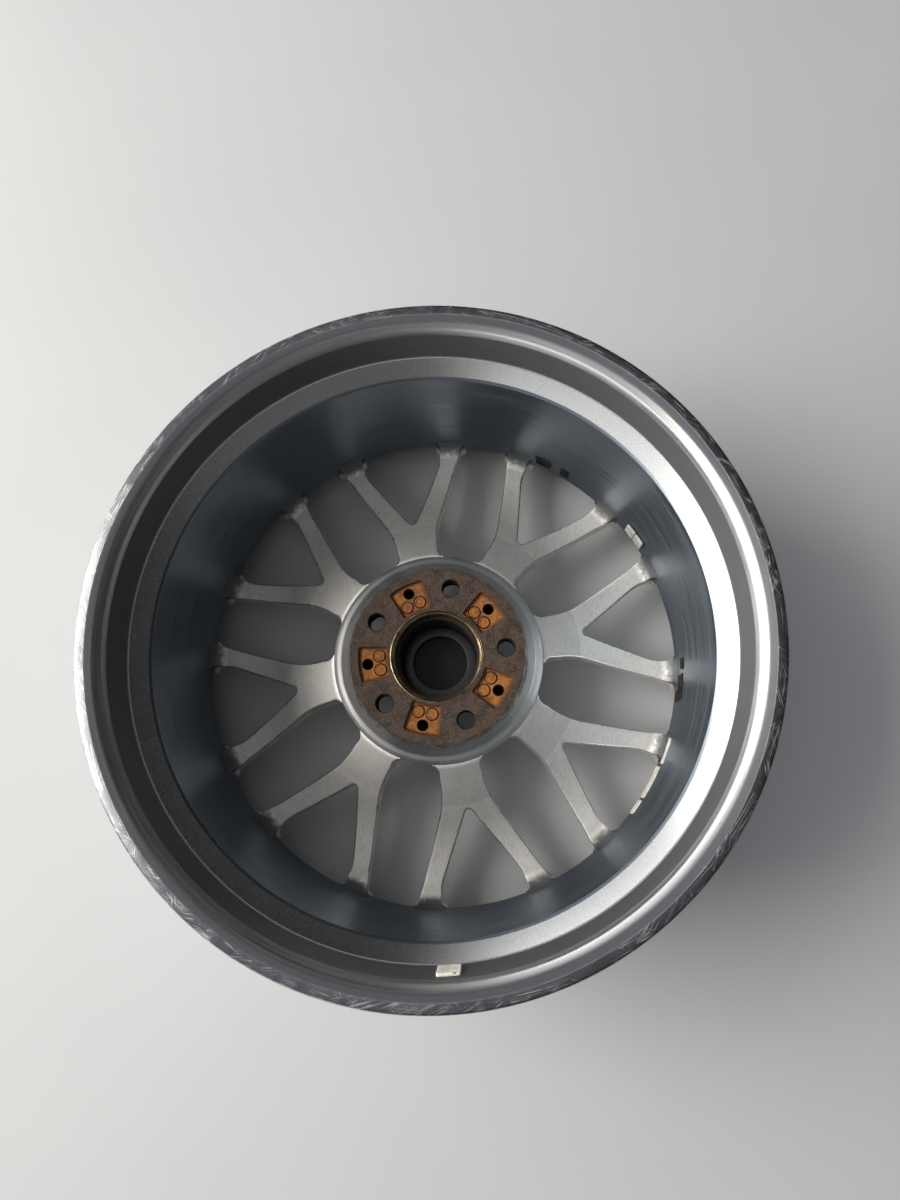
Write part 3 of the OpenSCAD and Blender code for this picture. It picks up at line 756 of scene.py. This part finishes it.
def side_half():
    flare = (130.0, 27.4 - 71.0)
    lean = math.degrees(math.atan2(12.4 - flare[1], 101.0 - flare[0]))
    flank = arc(flare, 71.0, lean - 3, 88, 26)
    corner = rim_corner(6.5, 4.0)
    return [(HUB_R - 3, 13.2)] + arc((101.0, 12.4), 9.0, 172, lean, 16) + flank[1:] + corner


def spoke_outline():
    """Plan of one spoke about the X axis: up one flank, round the fork window, down the other."""
    flank = [rotated(x, y, -SPOKE_STEP / 2) for x, y in side_half()]
    lower = flank + [(x, -y) for x, y in fork_half()][::-1]
    upper = [(x, -y) for x, y in lower[:-1]][::-1]
    return densified(lower + upper, 1.7)


def spoke_lattice():
    fillet_x = WALL_R - FILLET_R
    radii = list(np.arange(HUB_R + 1, fillet_x - 1, LATTICE))
    radii += [fillet_x + FILLET_R * math.sin(a) for a in np.linspace(0, math.pi / 2, 12)]
    points = []
    for i, r in enumerate(radii):
        count = int(2 * math.radians(24) * r / LATTICE)
        shift = 0.5 * (i % 2)
        points += [polar(r, -24 + 48 * (k + shift) / count) for k in range(count)]
    return np.array(points)


def build_spokes():
    outline = spoke_outline()
    steps, count = 4, len(outline)
    verts, faces = slab(outline, spoke_back, spoke_front, spoke_edge, spoke_lattice(), 1.1, steps)
    on_edge = [int((steps + 1) * count <= i < (2 * steps + 1) * count) for i in range(len(faces))]
    finishes = [MATERIALS["spoke"], MATERIALS["deburred"]]
    for i in range(8):
        arm = mesh_object(f"forked_spoke_{i + 1}", verts, faces, 35.0, None, finishes, on_edge)
        turn_about_z(arm, SPOKE_STEP * (i + 0.5))
        if i == VALVE_SPOKE:
            cut(arm, valve_cutter(), sharp=35.0)
        piece(arm, f"spoke_{i + 1}")


# ---- Hub ----

def sector_pocket():
    """Plan of a relief pocket, with rounded corners."""
    corners = []
    for r, w, sign in ((POCKET_IN, 24, -1), (POCKET_OUT, 31, -1), (POCKET_OUT, 31, 1), (POCKET_IN, 24, 1)):
        corners.append((math.sqrt(r * r - w * w / 4), sign * w / 2, 2.2))
    outer = [polar(POCKET_OUT, a) for a in np.linspace(-9, 9, 5)]
    inner = [polar(POCKET_IN, a) for a in np.linspace(11, -11, 5)]
    return rounded(corners[:2] + outer + corners[2:] + inner)


def prism(name, outline, levels, material):
    """Closed prism through (z, inset) levels of a plan outline."""
    loop = np.array(outline)
    ahead = np.roll(loop, -1, 0) - np.roll(loop, 1, 0)
    ahead /= np.linalg.norm(ahead, axis=1)[:, None]
    inward = np.stack([-ahead[:, 1], ahead[:, 0]], axis=1)
    count = len(loop)
    verts = np.concatenate([
        np.column_stack([loop + inward * inset, np.full(count, z)]) for z, inset in levels])
    faces = [tuple(range(count))[::-1], tuple((len(levels) - 1) * count + j for j in range(count))]
    faces += quads(len(levels), count, False)
    return mesh_object(name, verts, faces, materials=[material])


def lathe_at(name, profile, centre, finish, segs=56):
    """A closed profile revolved about an axis that runs along Z through a centre."""
    verts, faces = lathe_mesh(profile, segs)
    verts[:, :2] += centre
    return mesh_object(name, verts, faces, materials=[MATERIALS[finish]])


def build_hub():
    profile = rounded([
        (34, -HUB_T + 3), (37.5, -HUB_T + 3), (37.5, -HUB_T, 0.4), (79, -HUB_T, 2.5), (85, -50, 3.5),
        (HUB_R, -48), (HUB_R, HUB_EDGE_Z - 0.3), (91.7, -16.2, 1.2), (88.6, -14.2, 3.0), (84.6, -12.4, 7.0),
        (77.2, -5.0, 6.0), (76.3, -1.0, 0.8), (PAD_R - 0.2, 0, 0.9), (RING_R, 0), (RING_R, -RING_H),
        (34, -RING_H)])
    verts, faces = lathe_mesh(profile, HUB_SEGS)
    finishes = ["hub", "pad", "pocket", "hole"]
    finish_of = []
    for (r0, z0), (r1, z1) in zip(profile, profile[1:] + profile[:1]):
        in_bore = max(r0, r1) < RING_R + 0.3 and min(z0, z1) > -HUB_T + 1
        on_pad = min(z0, z1) > -0.45
        finish_of.append(finishes.index("hole" if in_bore else "pad" if on_pad else "hub"))
    hub = mesh_object("hub_centre", verts, faces, materials=[MATERIALS[finish] for finish in finishes],
                      face_material=finish_of * HUB_SEGS)
    bolt_hole = [(0, -61), (17.1, -61), (17.1, -60), (16.5, -59.4), (16.5, -27.5), (13, -27.5), (7.5, -18),
                 (7.5, -0.9), (7.75, -0.45), (8.3, 0), (8.3, 1), (0, 1)]
    blind_hole = [(0, -28), (4.2, -27), (4.5, -26.5), (4.5, -4.2), (5.1, -3.5), (5.1, -2.5), (0, -2.5)]
    groove = [(4.9, -4.3), (5.5, -4.3), (5.8, -3.4), (4.6, -3.4)]
    pocket_levels = [(-3.5, 1.2), (-3.1, 0.5), (-2.3, 0.05), (-0.6, 0), (0, -0.55), (1, -0.55)]
    cutters = []
    for i in range(5):
        azimuth = POCKET_ANGLE + BOLT_STEP * i
        cutters.append(lathe_at(f"bolt_cutter_{i}", bolt_hole, polar(60, 90 + BOLT_STEP * i), "hole"))
        pocket = prism(f"pocket_cutter_{i}", sector_pocket(), pocket_levels, MATERIALS["pocket"])
        turn_about_z(pocket, azimuth)
        cutters.append(pocket)
        cutters.append(lathe_at(f"blind_cutter_{i}", blind_hole, polar(60.2, azimuth), "hole", 32))
        for side in (-1, 1):
            name = f"groove_cutter_{i}_{side + 1}"
            cutters.append(lathe_at(name, groove, mark_centre(i, side), "hole", 28))
    cut(hub, *cutters)
    join(hub, [pocket_mark(i, side) for i in range(5) for side in (-1, 1)])
    clean(hub, 28.0, 2e-7)
    piece(hub, "hub")


def pocket_mark(i, side):
    """Round generic mark with a raised rim on the floor of a pocket."""
    profile = rounded([(0, -4.0), (4.7, -4.0), (4.7, -2.9, 0.35), (3.7, -2.9, 0.35), (3.3, -3.35, 0.2),
                       (2.0, -3.35, 0.2), (1.6, -3.0, 0.3), (0, -3.0)], 3)
    return lathe_at(f"mark_{i}_{side + 1}", profile, mark_centre(i, side), "pocket", 28)


def mark_centre(i, side):
    return rotated(49.5, 6.0 * side, POCKET_ANGLE + BOLT_STEP * i)


def join(target, others):
    """Adds other meshes to an object, keeping their materials."""
    bm = bmesh.new()
    bm.from_mesh(target.data)
    names = [m.name for m in target.data.materials]
    for other in others:
        start = len(bm.faces)
        index = names.index(other.data.materials[0].name)
        bm.from_mesh(other.data)
        bm.faces.ensure_lookup_table()
        for face in bm.faces[start:]:
            face.material_index = index
        bpy.data.objects.remove(other)
    bm.to_mesh(target.data)
    bm.free()


def build_ring():
    groove = [(RING_R, WIRE_Z - 0.8), (RING_R - 0.75, WIRE_Z - 0.65), (RING_R - 0.75, WIRE_Z + 0.65),
              (RING_R, WIRE_Z + 0.8)]
    profile = rounded([
        (BORE_R, -RING_H, 0.4), (RING_R - 0.5, -RING_H, 0.4), (RING_R, -RING_H + 0.5)] + groove + [
        (RING_R, -0.3, 0.2), (RING_R - 0.9, 0.0, 0.3), (39.5, 0, 0.15), (38.6, -1.2, 0.2),
        (38.5, -1.6, 0.2), (BORE_R + 0.5, -2.6, 0.3), (BORE_R, -3.4, 0.3)], 4)
    piece(lathe("hub_spigot_ring", profile, 160, 24.0), "spigot_ring", "ring")
    wire = open_ring("ring_retaining_wire", RING_R, WIRE_Z, 6, 150, 0.68)
    piece(wire, "spigot_ring_clip", "steel")


def build_centre_cap():
    body = rounded([
        (24.6, -49, 0.5), (33.4, -49, 0.6), (33.4, -52.6, 0.2), (33.0, -53.0, 0.2), (33.0, -55.0, 0.2),
        (33.4, -55.4, 0.2), (33.4, -57.0), (37.2, -57.0, 0.5), (37.2, -59.7, 0.8), (30.0, -59.7, 0.3),
        (30.0, -57.4), (31.2, -57.4), (31.2, -51.2, 0.4), (24.6, -51.2, 0.4)], 4)
    piece(lathe("cap_body", body, 160), "centre_cap_body", "plastic", "centre_cap")
    disc = rounded([(0, -57.6), (27.5, -57.6, 0.3), (29.9, -57.8, 0.3), (29.9, -59.4, 0.5),
                    (27.2, -60.0, 0.4), (26.2, -59.5, 0.3), (25.2, -59.8, 0.4), (12.0, -60.0),
                    (0, -60.0)], 4)
    piece(lathe("cap_disc", disc, 128), "centre_cap_disc", "gloss", "centre_cap")
    wire = open_ring("cap_retaining_spring", 30.2, -54.0, 4, 140, 0.98)
    piece(wire, "centre_cap_spring", "steel", "centre_cap")


# ---- Valve ----

def valve_lathe(name, profile, segs=SMALL_SEGS):
    return lathe(name, profile, segs, 30.0, AT_VALVE)


def threaded(name, bore, core_r, depth, pitch, z0, z1, runs):
    """A stem with a helical thread between z0 and z1 and plain turned ends from runs of (r, z)."""
    segs = SMALL_SEGS
    per_pitch = 8
    rows = int((z1 - z0) / pitch * per_pitch)
    heights = np.linspace(z0, z1, rows + 1)
    angles = np.linspace(0, 2 * math.pi, segs, endpoint=False)
    phase = (heights[:, None] / pitch - angles[None] / (2 * math.pi)) % 1.0
    fade = np.clip(np.minimum(heights - z0, z1 - heights) / pitch, 0, 1)[:, None]
    radius = core_r + depth * fade * (1 - np.abs(2 * phase - 1)) - depth * (1 - fade) * 0.5
    body = [(np.full(segs, r), np.full(segs, z)) for r, z in runs[0]]
    body += [(radius[i], np.full(segs, heights[i])) for i in range(rows + 1)]
    body += [(np.full(segs, r), np.full(segs, z)) for r, z in runs[1] + bore]
    verts = np.concatenate([np.column_stack([r * np.cos(angles), r * np.sin(angles), z]) for r, z in body])
    return mesh_object(name, verts, quads(len(body), segs), 40.0, AT_VALVE)


def ribbed(name, profile, ribs, depth, z0, z1, segs):
    """A revolved profile whose outside carries fine axial ribs between z0 and z1."""
    verts, faces = lathe_mesh(profile, segs)
    radius = np.hypot(verts[:, 0], verts[:, 1])
    angle = np.arctan2(verts[:, 1], verts[:, 0])
    outside = (radius > 4.7) & (verts[:, 2] > z0) & (verts[:, 2] < z1)
    factor = np.where(outside, 1 - depth * (0.5 - 0.5 * np.cos(ribs * angle)) / np.maximum(radius, 1), 1.0)
    verts[:, :2] *= factor[:, None]
    return mesh_object(name, verts, faces, 50.0, AT_VALVE)


def build_valve():
    bore = [(2.5, 31), (2.5, 6.2), (1.5, 5.6), (1.5, -5.5)]
    start = [(5.9, -5.5), (6.4, -5.0), (6.4, -3.4), (6.0, -3.0), (3.9, -3.0), (3.9, 8.6)]
    stem = threaded("valve_tube", bore, 3.45, 0.44, 0.794, 9.0, 30.2, (start, [(3.3, 30.6), (3.1, 31.0)]))
    piece(stem, "valve_stem", "nickel")
    seal = rounded([(3.9, -3.0), (6.0, -3.0, 0.5), (6.2, -1.5, 0.8), (6.0, 0.0, 0.4), (4.15, 0.0),
                    (4.15, 3.0, 0.4), (3.9, 3.0)], 4)
    piece(valve_lathe("valve_grommet", seal), "valve_seal", "rubber")
    washer = rounded([(4.15, 10.5, 0.15), (6.3, 10.5, 0.3), (6.3, 11.5, 0.3), (4.15, 11.5, 0.15)], 3)
    piece(valve_lathe("valve_lock_washer", washer), "valve_washer", "nickel")
    piece(hex_nut(), "valve_nut", "nickel")
    core = rounded([
        (0.8, 12.0), (1.9, 12.0, 0.2), (2.3, 12.6, 0.1), (2.3, 15.0), (1.9, 15.4), (1.9, 16.6),
        (2.35, 17.0, 0.1), (2.35, 20.0), (2.5, 22.0), (2.5, 30.2, 0.2), (1.65, 30.4, 0.1),
        (1.65, 21.0), (0.8, 21.0)], 2)
    piece(valve_lathe("valve_core_tube", core, 40), "valve_core_body", "brass")
    pin = rounded([
        (0, 10.0), (1.6, 10.0, 0.2), (1.9, 10.6, 0.2), (1.9, 11.9, 0.1), (0.75, 12.0), (0.75, 27.0),
        (1.5, 27.0, 0.1), (1.5, 27.9, 0.2), (0.75, 28.0), (0.75, 30.2, 0.3), (0.4, 30.5), (0, 30.5)], 2)
    piece(valve_lathe("valve_pin", pin, 32), "valve_core_pin", "brass", "valve_core_pin")
    turns = np.linspace(0, 2 * math.pi * 6, 180)
    coil = [(1.22 * math.cos(a), 1.22 * math.sin(a), 21.27 + 5.46 * a / turns[-1]) for a in turns]
    spring = tube("valve_pin_coil", coil, 0.25, 10)
    spring.data.transform(AT_VALVE)
    piece(spring, "valve_core_spring", "steel")
    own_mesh(spring)
    cap = rounded([
        (3.97, 18.5, 0.2), (4.9, 18.5, 0.3), (5.1, 19.3, 0.2), (5.1, 20.4, 0.2), (5.05, 21.0), (5.05, 34.4),
        (4.9, 35.6, 0.8), (3.6, 37.0, 0.8), (1.2, 37.0, 0.3), (0.8, 36.6, 0.2), (0, 36.6), (0, 32.25),
        (3.97, 32.25)], 3)
    ribbed_cap = ribbed("valve_dust_cap", cap, 28, 0.32, 20.9, 34.6, 168)
    piece(ribbed_cap, "valve_cap", "plastic", "valve_cap")
    ring = rounded([(1.4, 31.05, 0.2), (3.7, 31.05, 0.3), (3.7, 32.2, 0.3), (1.4, 32.2, 0.2)], 3)
    piece(valve_lathe("valve_dust_cap_seal", ring), "valve_cap_seal", "seal", "valve_cap_travel")


def hex_nut():
    """Chamfered hexagon nut, 11 mm across the flats."""
    segs, flat_r = 72, 5.5
    levels = [(3.95, 11.5), (4.9, 11.5), (5.5, 11.55), (6.4, 11.95), (6.4, 15.5), (5.5, 15.95), (4.5, 16.0),
              (3.95, 15.7)]
    verts = []
    for r, z in levels:
        for k in range(segs):
            a = 2 * math.pi * k / segs
            limit = flat_r / math.cos((a + math.pi / 6) % (math.pi / 3) - math.pi / 6)
            verts.append((min(r, limit) * math.cos(a), min(r, limit) * math.sin(a), z))
    return mesh_object("valve_lock_nut", verts, quads(len(levels), segs), 28.0, AT_VALVE)


# ---- Stick-on pieces ----

def patch_mesh(place, wall_r, thick, ragged, seed, edge_r=0.35, ripple=0.12):
    """A small plate wrapped on the inside of a wall; place is angles and heights, ragged its torn edge."""
    a0, a1, z0, z1 = place
    middle = math.radians((a0 + a1) / 2)
    half_w, half_h = math.radians(a1 - a0) / 2 * wall_r, (z1 - z0) / 2
    corners = rounded([(-half_w, -half_h, 1.6), (half_w, -half_h, 1.6), (half_w, half_h, 1.6),
                       (-half_w, half_h, 1.6)], 4)
    outline = densified(corners, 0.9)
    if ragged > 0:
        rng = np.random.default_rng(seed)
        turn = np.arctan2(outline[:, 1], outline[:, 0])
        pull = sum(rng.uniform(0.3, 1.0) / (k ** 0.5) * np.sin(k * turn + rng.uniform(0, 6.28))
                   for k in range(2, 14))
        outline = outline * (1 - ragged * np.clip(0.25 + pull * 0.22, 0, 1))[:, None]
    xs, ys = np.meshgrid(np.arange(-half_w, half_w, 1.1), np.arange(-half_h, half_h, 1.1))
    lattice = np.column_stack([xs.ravel(), ys.ravel()])

    def top(plan):
        wave = np.sin(plan[:, 0] * 0.9 + seed) * np.cos(plan[:, 1] * 0.7 + seed * 1.7)
        return thick * (1 - ripple * (0.5 + 0.5 * wave))

    verts, faces = slab(outline, top, lambda plan: np.zeros(len(plan)),
                        lambda plan: np.full(len(plan), edge_r), lattice, 0.6, 3)
    angle = middle + verts[:, 0] / wall_r
    radius = wall_r - verts[:, 2]
    height = (z0 + z1) / 2 + verts[:, 1]
    return np.column_stack([radius * np.cos(angle), radius * np.sin(angle), height]), faces


def patches(name, places, wall_r, thick, ragged, seed, **options):
    verts, faces, base = [], [], 0
    for i, place in enumerate(places):
        more, its_faces = patch_mesh(place, wall_r, thick, ragged, seed + i, **options)
        verts.append(more)
        faces += [tuple(base + k for k in face) for face in its_faces]
        base += len(more)
    return mesh_object(name, np.concatenate(verts), faces, 40.0)


def build_stick_ons():
    weight = [40.8, 47.0, -43, -27]
    halves = [[40.8, 43.85, -43, -27], [43.95, 47.0, -43, -27]]
    piece(patches("stick_on_weight", halves, WALL_R - 0.8, 2.5, 0.0, 3, edge_r=0.7, ripple=0.04),
          "balance_weight", "weight")
    piece(patches("stick_on_weight_foam", [weight], WALL_R, 0.8, 0.02, 5, edge_r=0.2),
          "weight_foam", "foam")
    strips = [[332.8, 336.8, -52, -37], [337.2, 345.8, -52, -36], [346.2, 352.8, -39, -30]]
    piece(patches("old_tape_strip", strips, WALL_R, 1.2, 0.16, 11), "tape_strip", "cream")
    scraps = [[66.9, 69.4, -48, -32], [71.9, 76.5, -49, -32], [1.4, 4.2, -46, -38.5], [1.4, 8, -38.5, -24],
              [8.8, 11.6, -31, -21]]
    piece(patches("torn_foam_scraps", scraps, WALL_R, 1.2, 0.3, 23), "foam_scraps", "foam")
    band_r = BAND_R + (BAND_MIDDLE - (Z_IN - 38.8)) * BAND_TAPER
    sticker = patches("rim_sticker", [[283.6, 287.8, 103, 121]], band_r, 2.3, 0.03, 31, edge_r=0.5)
    lean_on_band(sticker)
    piece(sticker, "rim_weight", "cream")


def lean_on_band(obj):
    """Follows the slight taper of the rim's inner band."""
    for v in obj.data.vertices:
        r = math.hypot(v.co.x, v.co.y)
        want = r + (v.co.z - BAND_MIDDLE * MM) * BAND_TAPER
        v.co.x *= want / r
        v.co.y *= want / r


build_rim()
build_spokes()
build_hub()
build_ring()
build_centre_cap()
build_valve()
build_stick_ons()


# ---- Floor, light and camera ----

def build_stage():
    size = 4.0
    verts = [(-size, -size, 0), (size, -size, 0), (size, size, 0), (-size, size, 0)]
    mesh = bpy.data.meshes.new("studio_floor")
    mesh.from_pydata(verts, [], [(0, 1, 2, 3)])
    mesh.materials.append(floor_material())
    floor = bpy.data.objects.new("studio_floor", mesh)
    floor.location = (0, 0, (Z_OUT - 0.2) * MM)
    bpy.context.scene.collection.objects.link(floor)


VIEW_TURN = Matrix.Rotation(math.radians(10.897), 4, "Z")


def area_light(name, where, size, power, colour):
    """A soft panel that faces the wheel; its place is right, up and towards, as the camera sees it."""
    light = bpy.data.lights.new(name, "AREA")
    light.shape = "RECTANGLE"
    light.size, light.size_y = size
    light.energy = power
    light.color = colour
    obj = bpy.data.objects.new(name, light)
    place = VIEW_TURN @ Vector(where)
    obj.visible_camera = False
    obj.location = place
    obj.rotation_euler = (Vector((0, 0, 0.02)) - place).to_track_quat("-Z", "Y").to_euler()
    bpy.context.scene.collection.objects.link(obj)


def glow(sky, direction, toward, low, high):
    """Share of the sky that faces a way (right, up, towards), from 0 at one cosine to 1 at another."""
    way = VIEW_TURN @ Vector(toward).normalized()
    facing = sky.add("ShaderNodeVectorMath", {0: direction, 1: way}, operation="DOT_PRODUCT")
    return sky.ramp_up(facing.outputs["Value"], low, high)


def build_light():
    """A low bright band on the left, soft glows and two panels; the camera itself sees a plain grey sky."""
    world = bpy.data.worlds.new("studio")
    bpy.context.scene.world = world
    sky = Nodes(world)
    direction = sky.add("ShaderNodeTexCoord").outputs["Generated"]
    low_left = sky.times(glow(sky, direction, (-1.0, 0.0, 0.0), 0.05, 0.42),
                         glow(sky, direction, (0.0, 0.0, -1.0), -0.38, -0.14))
    strength = sky.times(low_left, 3.6)
    for toward, low, high, share in (((-0.3, 0.1, 0.95), 0.70, 0.95, 0.50),
                                     ((-0.9, 0.0, 0.6), 0.2, 1.0, 0.24),
                                     ((0.1, -1.0, 0.5), 0.3, 1.0, 0.12)):
        strength = sky.plus(strength, sky.times(glow(sky, direction, toward, low, high), share))
    seen = sky.add("ShaderNodeLightPath").outputs["Is Camera Ray"]
    lighting = sky.times(sky.plus(strength, 0.025), sky.minus(1.0, seen))
    background = sky.tree.nodes["Background"]
    sky.feed(background.inputs["Color"], (0.94, 0.96, 1.0, 1.0))
    sky.feed(background.inputs["Strength"], sky.plus(lighting, sky.times(seen, 0.5)))
    area_light("key_panel", (-2.6, 0.5, 0.42), (3.0, 0.55), 22.0, (1.0, 0.98, 0.94))
    area_light("top_panel", (-2.3, 0.16, 1.75), (1.8, 2.4), 116.0, (1.0, 0.955, 0.89))
    bpy.context.scene.view_settings.view_transform = "Standard"


def build_camera():
    camera = bpy.data.cameras.new("camera")
    camera.sensor_fit = "VERTICAL"
    camera.sensor_height = 24.0
    camera.lens = 16.21
    camera.clip_start = 0.02
    obj = bpy.data.objects.new("camera", camera)
    right, up, back = (0.99861, 0.01077, -0.05144), (0.0, 0.97751, 0.2046), (0.05262, -0.20432, 0.97616)
    axes = Matrix((right, up, back)).transposed().to_4x4()
    obj.matrix_world = Matrix.Translation((0.0650, -0.0846, 0.6878)) @ VIEW_TURN @ axes
    bpy.context.scene.collection.objects.link(obj)
    bpy.context.scene.camera = obj


build_stage()
build_light()
build_camera()
